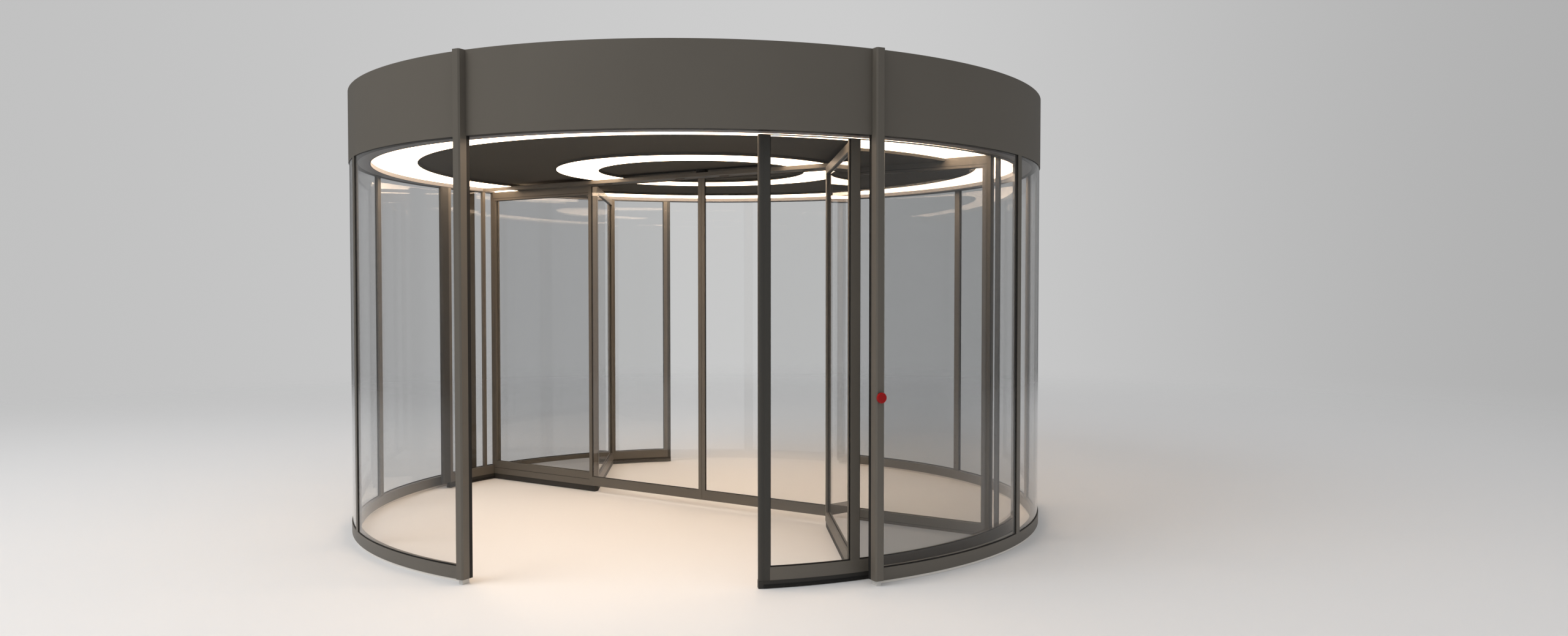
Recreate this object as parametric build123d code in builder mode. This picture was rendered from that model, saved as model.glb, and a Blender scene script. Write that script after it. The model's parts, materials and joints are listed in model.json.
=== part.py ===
from build123d import *
from math import asin, atan2, degrees, sqrt
import os

os.makedirs("parts", exist_ok=True)

# ---------------------------------------------------------------- driving dimensions (mm, degrees)
# The origin is the middle of the drum on the floor. The front entry faces -Y.

# drum
drum_radius = 2400  # outer face of the canopy, the base rails and the wall mullions
passage_height = 2425  # floor to the underside of the canopy
canopy_height = 459
entry_width_angle = 55.4  # between the middles of the two posts of an entry

# canopy
fascia_thickness = 20
roof_thickness = 20
roof_setback = 30  # how far the roof sheet lies under the fascia's upper edge
ceiling_rim_width = 116
ceiling_rim_drop = 28  # how far the rim's underside hangs below the light rings
light_drop = 20  # how far the light rings hang below the ceiling panels
ceiling_panel_thickness = 12
deck_thickness = 20
outer_light_width = 294
inner_light_outer_radius = 1039
inner_light_inner_radius = 745

# entry posts
post_width = 54
post_depth = 79
post_proud = 47  # how far a post stands out of the canopy's face
post_facet = 8
post_nose_depth = 53  # in front of the seal
post_foot_height = 28  # the narrower foot beneath a post
post_foot_inset = 14
seal_width = 10
seal_depth = 24

# side walls
wall_depth = 50
base_rail_height = 85
base_rail_step = 15  # the shadow gap beneath the base rail
base_rail_step_inset = 8
mullion_width = 60
mullion_depth = 32
mullion_angles = (-30.6, 0.0, 30.6)
wall_glass_thickness = 12
wall_glass_setback = 6  # behind the outer face of the rails and mullions

# emergency button
button_height = 1018
button_radius = 29
button_collar_radius = 18
button_collar_depth = 5
button_cap_depth = 14

# rotor: local x runs along the partition, each showcase lies on the -y side of its half
rotor_angle = -32.6  # direction of the partition in plan
rotor_floor_gap = 2  # beneath the skirts
rotor_head_gap = 6  # between the rotor's walls and the canopy
skirt_height = 45
skirt_inset = 5
rotor_rail_height = 70
wall_top_rail_height = 2  # a thin cap on the glass
diagonal_top_rail_height = 50
rotor_clearance = 66  # between the drum's wall and the rotor's curved walls
rotor_wall_depth = 40
rotor_glass_thickness = 10
rotor_glass_setback = 6  # behind the outer face of a curved wall
free_end_angle = -44.4  # local angles along the curved wall
mid_post_angle = -31.2
slim_post_angle = 1.45
far_end_angle = 12.2
end_post_width = 34
mid_post_width = 57
slim_post_width = 28
free_nosing_length = 29
far_nosing_length = 80
nosing_depth = 40
nosing_round = 18

# partition
panel_offset = 62  # middle plane of a fixed panel from the middle plane of the partition
panel_thickness = 50
panel_start = 1105
panel_inner_stile = 30
panel_outer_stile = 28
panel_header_height = 70
panel_sill_height = 105
top_beam_height = 27
top_beam_width = 120
top_beam_end_gap = 14
beam_tongue_start = 1940  # from here outwards only a tongue is left on the passage side
beam_tongue_width = 20

# diagonal panel of a showcase
diagonal_thickness = 40
diagonal_stile_width = 45
diagonal_start = 23  # from the end of the fixed panel to the middle of the diagonal
diagonal_tip_angle = -30.85  # where the middle of the diagonal meets the curved wall

# showcase roof and floor
roof_panel_thickness = 17
roof_panel_drop = 3
floor_panel_thickness = 12
floor_panel_height = 78  # the floor panel's upper side

# centre leaves
leaf_thickness = 20
leaf_floor_gap = 58
leaf_rail_height = 70
leaf_top_rail_height = 6
leaf_stile_width = 29
leaf_meeting_gap = 2
leaf_overlap = 7  # how far a leaf's outer end reaches past the start of the fixed panel
leaf_top_gap = 5
leaf_glass_thickness = 8
hanger_length = 80
hanger_width = 12
hanger_inset = 200

# hanging shaft and bearing
shaft_radius = 45
bearing_radius = 220
bearing_height = 160
bearing_gap = 0.1
panel_hole_gap = 6  # around the shaft where it passes the ceiling
seat_gap = 0.3  # between pieces that meet at a curved or sliding face

# ---------------------------------------------------------------- derived places
canopy_top = passage_height + canopy_height
half_entry = entry_width_angle / 2
light_bottom = passage_height + ceiling_rim_drop
panel_bottom = light_bottom + light_drop
deck_bottom = panel_bottom + ceiling_panel_thickness
fascia_inner = drum_radius - fascia_thickness
rim_inner = fascia_inner - ceiling_rim_width
outer_light_inner_radius = rim_inner - outer_light_width
wall_inner = drum_radius - wall_depth
mullion_inner = drum_radius - mullion_depth

rotor_top = passage_height - rotor_head_gap
rotor_wall_radius = wall_inner - rotor_clearance
rotor_inner = rotor_wall_radius - rotor_wall_depth
rotor_mid = rotor_wall_radius - rotor_wall_depth / 2
rotor_glass_outer = rotor_wall_radius - rotor_glass_setback
rotor_glass_inner = rotor_glass_outer - rotor_glass_thickness
rail_top = skirt_height + rotor_rail_height
wall_glass_top = rotor_top - wall_top_rail_height
diagonal_glass_top = rotor_top - diagonal_top_rail_height
beam_top = rotor_top + top_beam_height
panel_face = panel_offset + panel_thickness / 2  # showcase side of a fixed panel


def save(piece, name):
    """Label a finished piece and write it as its own STEP file."""
    piece.part.label = name
    export_step(piece.part, f"parts/{name}.step")


def sector(inner, outer, start, end):
    """A ring sector about the origin, from angle start to angle end."""
    with BuildSketch() as face:
        with BuildLine():
            outer_edge = CenterArc((0, 0), outer, start, end - start)
            inner_edge = CenterArc((0, 0), inner, start, end - start)
            Line(outer_edge @ 0, inner_edge @ 0)
            Line(outer_edge @ 1, inner_edge @ 1)
        make_face()
    return face.sketch


def angle_of(width, radius):
    """The angle that a straight width takes up at a radius."""
    return degrees(2 * asin(width / 2 / radius))


def level(height):
    """The horizontal plane of the drum at a height."""
    return Plane.XY.offset(height)


def rotor_level(height, turn=0):
    """The horizontal plane of the rotor at a height, turned to one of its two sides."""
    return Plane.XY.rotated((0, 0, rotor_angle + turn)).offset(height)


def cylinder_ring(plane, outer, inner, height):
    """A flat ring, or a full disc where inner is zero, standing on a plane."""
    with BuildPart() as ring:
        with BuildSketch(plane):
            Circle(outer)
            if inner > 0:
                Circle(inner, mode=Mode.SUBTRACT)
        extrude(amount=height)
    return ring


# ---------------------------------------------------------------- canopy

canopy_fascia = cylinder_ring(level(passage_height), drum_radius, fascia_inner, canopy_height)
save(canopy_fascia, "canopy_fascia")

roof_bottom = canopy_top - roof_setback - roof_thickness
canopy_roof = cylinder_ring(level(roof_bottom), fascia_inner, 0, roof_thickness)
save(canopy_roof, "canopy_roof")

rim_height = deck_bottom - passage_height
ceiling_rim = cylinder_ring(level(passage_height), fascia_inner, rim_inner, rim_height)
save(ceiling_rim, "ceiling_rim")

shaft_hole = shaft_radius + panel_hole_gap
ceiling_deck = cylinder_ring(level(deck_bottom), fascia_inner, shaft_hole, deck_thickness)
save(ceiling_deck, "ceiling_deck")

# from the rim inwards: light ring, ceiling panel, light ring, centre panel
ceiling_rings = {
    "outer_light_ring": (light_bottom, rim_inner, outer_light_inner_radius),
    "ceiling_panel": (panel_bottom, outer_light_inner_radius, inner_light_outer_radius),
    "inner_light_ring": (light_bottom, inner_light_outer_radius, inner_light_inner_radius),
    "centre_panel": (panel_bottom, inner_light_inner_radius, shaft_hole),
}
for ring_name, (ring_bottom, outer, inner) in ceiling_rings.items():
    save(cylinder_ring(level(ring_bottom), outer, inner, deck_bottom - ring_bottom), ring_name)

deck_top = deck_bottom + deck_thickness
bearing_bore = shaft_radius + bearing_gap
shaft_bearing = cylinder_ring(level(deck_top), bearing_radius, bearing_bore, bearing_height)
save(shaft_bearing, "shaft_bearing")

# ---------------------------------------------------------------- entry posts

post_outer = drum_radius + post_proud
post_inner = post_outer - post_depth
seal_outer = post_outer - post_nose_depth
seal_centre = (post_width - seal_width) / 2
post_sites = {
    "front_left_post": (-90 - half_entry, 1),
    "front_right_post": (-90 + half_entry, -1),
    "rear_right_post": (90 - half_entry, 1),
    "rear_left_post": (90 + half_entry, -1),
}


def entry_post(angle, opening_side):
    """A full-height post with a faceted nose and a rebate for its seal on the opening side."""
    half = post_width / 2
    plan = Plane.XY.rotated((0, 0, angle))
    with BuildPart() as post:
        with BuildSketch(plan.offset(post_foot_height)):
            with BuildLine():
                Polyline(
                    (post_inner, -half),
                    (post_outer - post_facet, -half),
                    (post_outer, -half + post_facet),
                    (post_outer, half - post_facet),
                    (post_outer - post_facet, half),
                    (post_inner, half),
                    close=True,
                )
            make_face()
            with Locations(((post_inner + seal_outer) / 2, opening_side * seal_centre)):
                Rectangle(seal_outer - post_inner, seal_width, mode=Mode.SUBTRACT)
        extrude(amount=canopy_top - post_foot_height)
        with BuildSketch(plan):
            with Locations((post_inner + post_depth / 2, 0)):
                Rectangle(post_depth - 2 * post_foot_inset, post_width - 2 * post_foot_inset)
        extrude(amount=post_foot_height)
        with BuildSketch(level(passage_height)):
            Circle(drum_radius)
        extrude(amount=canopy_height, mode=Mode.SUBTRACT)
    return post


for post_name, (post_angle, opening_side) in post_sites.items():
    save(entry_post(post_angle, opening_side), post_name)

# the brush seals fill the front of each rebate
with BuildPart() as post_seals:
    for post_angle, opening_side in post_sites.values():
        with BuildSketch(Plane.XY.rotated((0, 0, post_angle)).offset(post_foot_height)):
            with Locations((seal_outer - seal_depth / 2, opening_side * seal_centre)):
                Rectangle(seal_depth, seal_width)
        extrude(amount=passage_height - post_foot_height)
save(post_seals, "post_seals")

# ---------------------------------------------------------------- side walls

post_edge = angle_of(post_width, wall_inner) / 2
wall_end = 90 - half_entry - post_edge
mullion_edge = angle_of(mullion_width, drum_radius) / 2


def side_wall(side, middle):
    """The base rail, the mullions and the curved glass of one side of the drum."""
    with BuildPart() as base_rail:
        with BuildSketch(level(0)):
            add(
                sector(
                    wall_inner + base_rail_step_inset,
                    drum_radius - base_rail_step_inset,
                    middle - wall_end,
                    middle + wall_end,
                )
            )
        extrude(amount=base_rail_step)
        with BuildSketch(level(base_rail_step)):
            add(sector(wall_inner, drum_radius, middle - wall_end, middle + wall_end))
        extrude(amount=base_rail_height - base_rail_step)
    save(base_rail, f"{side}_base_rail")

    with BuildPart() as mullions:
        for angle in mullion_angles:
            start = middle + angle - mullion_edge
            with BuildSketch(level(base_rail_height)):
                add(sector(mullion_inner, drum_radius, start, start + 2 * mullion_edge))
            extrude(amount=passage_height - base_rail_height)
    save(mullions, f"{side}_mullions")

    glass_outer = drum_radius - wall_glass_setback
    glass_inner = glass_outer - wall_glass_thickness
    starts = [-wall_end] + [angle + mullion_edge for angle in mullion_angles]
    ends = [angle - mullion_edge for angle in mullion_angles] + [wall_end]
    with BuildPart() as glass:
        for start, end in zip(starts, ends):
            with BuildSketch(level(base_rail_height)):
                add(sector(glass_inner, glass_outer, middle + start, middle + end))
            extrude(amount=passage_height - base_rail_height)
    save(glass, f"{side}_wall_glass")


side_wall("right", 0)
side_wall("left", 180)

# ---------------------------------------------------------------- emergency button

# a red mushroom head on a short collar, on the nose of the front right post
button_side = Plane.YZ.rotated((0, 0, -90 + half_entry)).offset(post_outer)
with BuildPart() as emergency_button:
    with BuildSketch(button_side):
        with Locations((0, button_height)):
            Circle(button_collar_radius)
    extrude(amount=button_collar_depth)
    with BuildSketch(button_side.offset(button_collar_depth)):
        with Locations((0, button_height)):
            Circle(button_radius)
    extrude(amount=button_cap_depth)
    cap_edges = emergency_button.edges().filter_by(GeomType.CIRCLE)
    fillet(cap_edges.group_by(Axis((0, 0, 0), button_side.z_dir))[-1], button_cap_depth * 0.45)
save(emergency_button, "emergency_button")

# ---------------------------------------------------------------- rotor: shaft and top beam

with BuildPart() as drive_shaft:
    with BuildSketch(level(beam_top)):
        Circle(shaft_radius)
    extrude(amount=deck_top + bearing_height - beam_top)
save(drive_shaft, "drive_shaft")

beam_reach = rim_inner - top_beam_end_gap
beam_notch = beam_reach - beam_tongue_start
tongue_offset = (top_beam_width - beam_tongue_width) / 2
with BuildPart() as top_beam:
    for turn in (0, 180):
        with BuildSketch(rotor_level(rotor_top, turn)):
            with Locations((beam_tongue_start / 2, 0)):
                Rectangle(beam_tongue_start, top_beam_width)
            with Locations((beam_tongue_start + beam_notch / 2, tongue_offset)):
                Rectangle(beam_notch, beam_tongue_width)
        extrude(amount=top_beam_height)
save(top_beam, "top_beam")

# ---------------------------------------------------------------- rotor: plan shapes

# The diagonal runs from the inner end of the fixed panel to the middle post of the curved wall.
diagonal_foot = Vector(panel_start + diagonal_start, -panel_face)
diagonal_tip = Vector(rotor_inner, 0).rotate(Axis.Z, diagonal_tip_angle)
diagonal_run = diagonal_tip - diagonal_foot
diagonal_direction = degrees(atan2(diagonal_run.Y, diagonal_run.X))
panel_end = sqrt(rotor_inner**2 - panel_face**2) - seat_gap


def diagonal_strip(width, start_inset=0, end_inset=0):
    """A strip along the diagonal, cut at the fixed panel and at the curved wall."""
    length = diagonal_run.length - start_inset - end_inset
    reach = 0 if start_inset > 0 else width
    overrun = 0 if end_inset > 0 else width
    middle = start_inset + (length - reach + overrun) / 2
    centre = diagonal_foot + diagonal_run.normalized() * middle
    with BuildSketch() as strip:
        with Locations(Location((centre.X, centre.Y), (0, 0, diagonal_direction))):
            Rectangle(length + reach + overrun, width)
        Circle(rotor_inner - seat_gap, mode=Mode.INTERSECT)
        with Locations((0, -panel_face)):
            Rectangle(
                2 * drum_radius, drum_radius, align=(Align.CENTER, Align.MIN), mode=Mode.SUBTRACT
            )
    return strip.sketch


def panel_strip(start, end, thickness):
    """A strip along the fixed panel's middle plane between two places on it."""
    with BuildSketch() as strip:
        with Locations(((start + end) / 2, -panel_offset)):
            Rectangle(end - start, thickness)
    return strip.sketch


def wall_post(angle, width, side=0):
    """A post of the curved wall: on an angle, or ending there where side is -1 or 1."""
    half = angle_of(width, rotor_wall_radius) / 2
    middle = angle - side * half
    return sector(rotor_inner, rotor_wall_radius, middle - half, middle + half)


# ---------------------------------------------------------------- rotor: showcases


def upright(distance, turn=0):
    """An upright plane along the partition, set off to its showcase side."""
    return Plane.XZ.rotated((0, 0, rotor_angle + turn)).offset(distance)


def curved_frame(turn):
    """The rails and posts of a curved wall, two of the posts standing behind its glass."""
    whole_wall = sector(rotor_inner, rotor_wall_radius, free_end_angle, far_end_angle)
    corner_angle = -degrees(asin(panel_offset / rotor_mid))
    posts_behind_glass = ((corner_angle, panel_thickness), (slim_post_angle, slim_post_width))
    with BuildPart() as frame:
        with BuildSketch(rotor_level(skirt_height, turn)):
            add(whole_wall)
        extrude(amount=rotor_rail_height)
        with BuildSketch(rotor_level(wall_glass_top, turn)):
            add(whole_wall)
        extrude(amount=wall_top_rail_height)
        with BuildSketch(rotor_level(rail_top, turn)):
            add(wall_post(free_end_angle, end_post_width, -1))
            add(wall_post(mid_post_angle, mid_post_width))
            add(wall_post(far_end_angle, end_post_width, 1))
            for angle, width in posts_behind_glass:
                half = angle_of(width, rotor_mid) / 2
                add(sector(rotor_inner, rotor_glass_inner, angle - half, angle + half))
        extrude(amount=wall_glass_top - rail_top)
    return frame


def curved_glass(turn):
    """The two curved panes between the posts of a curved wall."""
    end_post = angle_of(end_post_width, rotor_wall_radius)
    half_mid = angle_of(mid_post_width, rotor_wall_radius) / 2
    panes = (
        (free_end_angle + end_post, mid_post_angle - half_mid),
        (mid_post_angle + half_mid, far_end_angle - end_post),
    )
    with BuildPart() as glass:
        with BuildSketch(rotor_level(rail_top, turn)):
            for start, end in panes:
                add(sector(rotor_glass_inner, rotor_glass_outer, start, end))
        extrude(amount=wall_glass_top - rail_top)
    return glass


def wall_nosings(turn):
    """The rubber nosings along both upright ends of a curved wall."""
    ends = ((free_end_angle, -1, free_nosing_length), (far_end_angle, 1, far_nosing_length))
    with BuildPart() as nosings:
        for angle, side, length in ends:
            with BuildSketch(rotor_level(skirt_height, turn + angle)) as profile:
                with Locations((rotor_mid, side * length / 2)):
                    Rectangle(nosing_depth, length)
                fillet(profile.vertices().sort_by(Axis.Y)[:: -side][:2], nosing_round)
            extrude(amount=rotor_top - skirt_height)
    return nosings


def panel_frame(turn):
    """The frame of a fixed panel: two stiles, a tall header and a sill."""
    opening_start = panel_start + panel_inner_stile
    opening_end = panel_end - panel_outer_stile
    opening_bottom = skirt_height + panel_sill_height
    opening_top = rotor_top - panel_header_height
    with BuildPart() as frame:
        with BuildSketch(upright(panel_offset - panel_thickness / 2, turn)):
            with Locations(((panel_start + panel_end) / 2, (skirt_height + rotor_top) / 2)):
                Rectangle(panel_end - panel_start, rotor_top - skirt_height)
            with Locations(((opening_start + opening_end) / 2, (opening_bottom + opening_top) / 2)):
                Rectangle(
                    opening_end - opening_start, opening_top - opening_bottom, mode=Mode.SUBTRACT
                )
        extrude(amount=panel_thickness)
    return frame


def panel_glass(turn):
    """The flat pane of a fixed panel."""
    pane = panel_strip(
        panel_start + panel_inner_stile, panel_end - panel_outer_stile, rotor_glass_thickness
    )
    with BuildPart() as glass:
        with BuildSketch(rotor_level(skirt_height + panel_sill_height, turn)):
            add(pane)
        extrude(amount=rotor_top - skirt_height - panel_sill_height - panel_header_height)
    return glass


def diagonal_frame(turn):
    """The frame of a diagonal panel: two rails and a stile at each end."""
    whole = diagonal_strip(diagonal_thickness)
    middle = diagonal_strip(diagonal_thickness + 2, diagonal_stile_width, diagonal_stile_width)
    with BuildPart() as frame:
        with BuildSketch(rotor_level(skirt_height, turn)):
            add(whole)
        extrude(amount=rotor_top - skirt_height)
        with BuildSketch(rotor_level(rail_top, turn)):
            add(middle)
        extrude(amount=diagonal_glass_top - rail_top, mode=Mode.SUBTRACT)
    return frame


def diagonal_glass(turn):
    """The flat pane of a diagonal panel."""
    pane = diagonal_strip(rotor_glass_thickness, diagonal_stile_width, diagonal_stile_width)
    with BuildPart() as glass:
        with BuildSketch(rotor_level(rail_top, turn)):
            add(pane)
        extrude(amount=diagonal_glass_top - rail_top)
    return glass


def showcase_panel(turn, bottom, thickness, reach):
    """A level panel between the two flat panels of a showcase, reaching to a radius."""
    side = diagonal_run.normalized().rotate(Axis.Z, 90) * (diagonal_thickness / 2 + seat_gap)
    start = diagonal_foot + side - diagonal_run
    end = diagonal_foot + side + diagonal_run * 2
    with BuildPart() as panel:
        with BuildSketch(rotor_level(bottom, turn)):
            with BuildLine():
                Polyline(
                    (start.X, start.Y),
                    (end.X, end.Y),
                    (2 * drum_radius, end.Y),
                    (2 * drum_radius, start.Y),
                    close=True,
                )
            make_face()
            Circle(reach, mode=Mode.INTERSECT)
            with Locations((0, -panel_face)):
                Rectangle(
                    2 * drum_radius,
                    drum_radius,
                    align=(Align.CENTER, Align.MIN),
                    mode=Mode.SUBTRACT,
                )
        extrude(amount=thickness)
    return panel


def showcase_roof(turn):
    """The roof panel of a showcase, which ends inside the light ring."""
    bottom = rotor_top - roof_panel_drop - roof_panel_thickness
    return showcase_panel(turn, bottom, roof_panel_thickness, outer_light_inner_radius)


def showcase_floor(turn):
    """The floor panel of a showcase, within its rails."""
    bottom = floor_panel_height - floor_panel_thickness
    return showcase_panel(turn, bottom, floor_panel_thickness, rotor_inner - seat_gap)


def skirt(turn):
    """The recessed skirt under the walls of a showcase, out to the tip of the free nosing."""
    nosing_end = angle_of(free_nosing_length, rotor_wall_radius)
    with BuildPart() as base:
        with BuildSketch(rotor_level(rotor_floor_gap, turn)):
            add(
                sector(
                    rotor_inner + skirt_inset,
                    rotor_wall_radius - skirt_inset,
                    free_end_angle - nosing_end,
                    far_end_angle,
                )
            )
            add(diagonal_strip(diagonal_thickness - 2 * skirt_inset))
            add(panel_strip(panel_start, panel_end + skirt_inset, panel_thickness - 2 * skirt_inset))
        extrude(amount=skirt_height - rotor_floor_gap)
    return base


# ---------------------------------------------------------------- rotor: centre leaves

leaf_start = leaf_meeting_gap / 2
leaf_end = panel_start + leaf_overlap
leaf_top = rotor_top - leaf_top_gap
leaf_glass_start = leaf_start + leaf_stile_width
leaf_glass_end = leaf_end - leaf_stile_width
leaf_glass_bottom = leaf_floor_gap + leaf_rail_height
leaf_glass_top = leaf_top - leaf_top_rail_height


def leaf_frame(turn):
    """The frame of a sliding centre leaf, with two hangers that run under the top beam."""
    with BuildPart() as frame:
        with BuildSketch(upright(-leaf_thickness / 2, turn)):
            with Locations(((leaf_start + leaf_end) / 2, (leaf_floor_gap + leaf_top) / 2)):
                Rectangle(leaf_end - leaf_start, leaf_top - leaf_floor_gap)
            with Locations(
                ((leaf_glass_start + leaf_glass_end) / 2, (leaf_glass_bottom + leaf_glass_top) / 2)
            ):
                Rectangle(
                    leaf_glass_end - leaf_glass_start,
                    leaf_glass_top - leaf_glass_bottom,
                    mode=Mode.SUBTRACT,
                )
        extrude(amount=leaf_thickness)
        with BuildSketch(rotor_level(leaf_top, turn)):
            with Locations((leaf_start + hanger_inset, 0), (leaf_end - hanger_inset, 0)):
                Rectangle(hanger_length, hanger_width)
        extrude(amount=leaf_top_gap - seat_gap)
    return frame


def leaf_glass(turn):
    """The pane of a centre leaf."""
    with BuildPart() as glass:
        with BuildSketch(upright(-leaf_glass_thickness / 2, turn)):
            with Locations(
                ((leaf_glass_start + leaf_glass_end) / 2, (leaf_glass_bottom + leaf_glass_top) / 2)
            ):
                Rectangle(leaf_glass_end - leaf_glass_start, leaf_glass_top - leaf_glass_bottom)
        extrude(amount=leaf_glass_thickness)
    return glass


rotor_pieces = {
    "curved_frame": curved_frame,
    "curved_glass": curved_glass,
    "wall_nosings": wall_nosings,
    "panel_frame": panel_frame,
    "panel_glass": panel_glass,
    "diagonal_frame": diagonal_frame,
    "diagonal_glass": diagonal_glass,
    "showcase_roof": showcase_roof,
    "showcase_floor": showcase_floor,
    "skirt": skirt,
    "leaf_frame": leaf_frame,
    "leaf_glass": leaf_glass,
}
for side, turn in (("front", 0), ("rear", 180)):
    for piece_name, make_piece in rotor_pieces.items():
        save(make_piece(turn), f"{side}_{piece_name}")
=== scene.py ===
"""Looks of a glazed drum revolving door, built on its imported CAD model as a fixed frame."""

import json
import logging
import math
from dataclasses import dataclass
from enum import Enum
from typing import Iterator, Protocol

import bmesh
import bpy
from mathutils import Matrix, Vector


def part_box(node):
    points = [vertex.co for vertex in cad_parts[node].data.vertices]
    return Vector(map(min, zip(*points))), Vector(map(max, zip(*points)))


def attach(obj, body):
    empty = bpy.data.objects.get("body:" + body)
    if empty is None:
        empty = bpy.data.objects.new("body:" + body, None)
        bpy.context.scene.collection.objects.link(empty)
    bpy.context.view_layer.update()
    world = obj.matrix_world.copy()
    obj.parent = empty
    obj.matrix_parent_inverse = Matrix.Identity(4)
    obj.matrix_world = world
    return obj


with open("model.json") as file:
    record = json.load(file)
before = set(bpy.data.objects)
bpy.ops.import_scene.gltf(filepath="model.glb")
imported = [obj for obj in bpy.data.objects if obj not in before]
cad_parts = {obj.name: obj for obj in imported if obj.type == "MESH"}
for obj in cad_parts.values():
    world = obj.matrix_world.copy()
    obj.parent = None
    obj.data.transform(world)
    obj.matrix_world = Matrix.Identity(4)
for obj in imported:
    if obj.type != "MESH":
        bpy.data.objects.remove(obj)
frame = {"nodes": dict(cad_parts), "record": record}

log = logging.getLogger("revolving_door")

MM = 0.001
Colour = tuple[float, float, float]
Place = tuple[float, float, float]

BLACK: Colour = (0.0, 0.0, 0.0)
UMBER: Colour = (0.121, 0.109, 0.091)
CEILING_TONE: Colour = (0.078, 0.0735, 0.065)
LAMP_GLOW: Colour = (1.0, 0.74, 0.52)
LAMP_STRENGTH = 7.0

MERGE_DISTANCE = 0.02 * MM  # between corner points that are one
ARC_STEP = math.radians(2.0)  # between the points along an arc
STRIP_ROUNDING = 0.3  # rounding of a thin strip's edges, as a share of its thickness
ROUNDING_STEPS = 2  # faces across a rounded edge


# ---------------------------------------------------------------- node helpers


class NodeSheet:
    """A node tree with short calls to add nodes, set their values and join them."""

    def __init__(self, tree: bpy.types.NodeTree) -> None:
        """Wraps a tree.

        Args:
            tree: The node tree that gets the nodes.
        """
        self.tree = tree

    def add(self, kind: str, inputs: dict | None = None, **settings: object) -> bpy.types.Node:
        """Adds a node.

        Args:
            kind: The node's type name.
            inputs: Values for its input sockets, by name or number. A socket is linked.
            **settings: Properties of the node itself.

        Returns:
            The new node.
        """
        node = self.tree.nodes.new(kind)
        for key, value in settings.items():
            setattr(node, key, value)
        for key, value in (inputs or {}).items():
            if isinstance(value, bpy.types.NodeSocket):
                self.tree.links.new(value, node.inputs[key])
            else:
                node.inputs[key].default_value = value
        return node

    def math(self, operation: str, *values: object, clamp: bool = False) -> bpy.types.NodeSocket:
        """Adds a Math node.

        Args:
            operation: The node's operation.
            *values: Its inputs, numbers or sockets.
            clamp: Whether the result stays between 0 and 1.

        Returns:
            The result's socket.
        """
        inputs = dict(enumerate(values))
        return self.add("ShaderNodeMath", inputs, operation=operation, use_clamp=clamp).outputs[0]

    def blend(self, factor: object, first: object, second: object) -> bpy.types.NodeSocket:
        """Adds a colour mix.

        Args:
            factor: Share of the second colour.
            first: A colour or a socket.
            second: A colour or a socket.

        Returns:
            The mixed colour's socket.
        """
        colour_sockets = {0: factor, 6: first, 7: second}
        return self.add("ShaderNodeMix", colour_sockets, data_type="RGBA").outputs[2]


def rgba(colour: Colour) -> tuple[float, float, float, float]:
    """A colour with full alpha."""
    return (*colour, 1.0)


def surface_grain_group() -> bpy.types.NodeTree:
    """The shared fine grain and broad tone drift of painted and moulded surfaces.

    Returns:
        A shader node group with the inputs Vector, Grain Scale and Drift Scale and the outputs
        Height, for a bump, and Drift, from -1 to 1.
    """
    name = "surface_grain"
    if name in bpy.data.node_groups:
        return bpy.data.node_groups[name]
    group = bpy.data.node_groups.new(name, "ShaderNodeTree")
    face = group.interface
    face.new_socket("Vector", in_out="INPUT", socket_type="NodeSocketVector")
    for label, value in (("Grain Scale", 900.0), ("Drift Scale", 1.5)):
        face.new_socket(label, in_out="INPUT", socket_type="NodeSocketFloat").default_value = value
    face.new_socket("Height", in_out="OUTPUT", socket_type="NodeSocketFloat")
    face.new_socket("Drift", in_out="OUTPUT", socket_type="NodeSocketFloat")
    sheet = NodeSheet(group)
    entry = sheet.add("NodeGroupInput")
    grain = sheet.add(
        "ShaderNodeTexNoise",
        {"Vector": entry.outputs["Vector"], "Scale": entry.outputs["Grain Scale"], "Detail": 2.0},
    )
    drift = sheet.add(
        "ShaderNodeTexNoise",
        {"Vector": entry.outputs["Vector"], "Scale": entry.outputs["Drift Scale"], "Detail": 3.0},
    )
    centred = sheet.math("SUBTRACT", drift.outputs["Fac"], 0.5)
    spread = sheet.math("MULTIPLY", centred, 2.0)
    leave = sheet.add("NodeGroupOutput")
    group.links.new(grain.outputs["Fac"], leave.inputs["Height"])
    group.links.new(spread, leave.inputs["Drift"])
    return group


class Finish(Protocol):
    """Anything that can dress a piece."""

    name: str

    def fill(self, sheet: NodeSheet, output: bpy.types.Node) -> None:
        """Builds the finish's nodes up to the material's output."""


def material_of(finish: Finish) -> bpy.types.Material:
    """The material of a finish, built once.

    Args:
        finish: The finish.

    Returns:
        Its material.
    """
    if finish.name in bpy.data.materials:
        return bpy.data.materials[finish.name]
    material = bpy.data.materials.new(finish.name)
    material.use_nodes = True
    material.node_tree.nodes.clear()
    sheet = NodeSheet(material.node_tree)
    output = sheet.add("ShaderNodeOutputMaterial")
    finish.fill(sheet, output)
    return material


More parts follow.
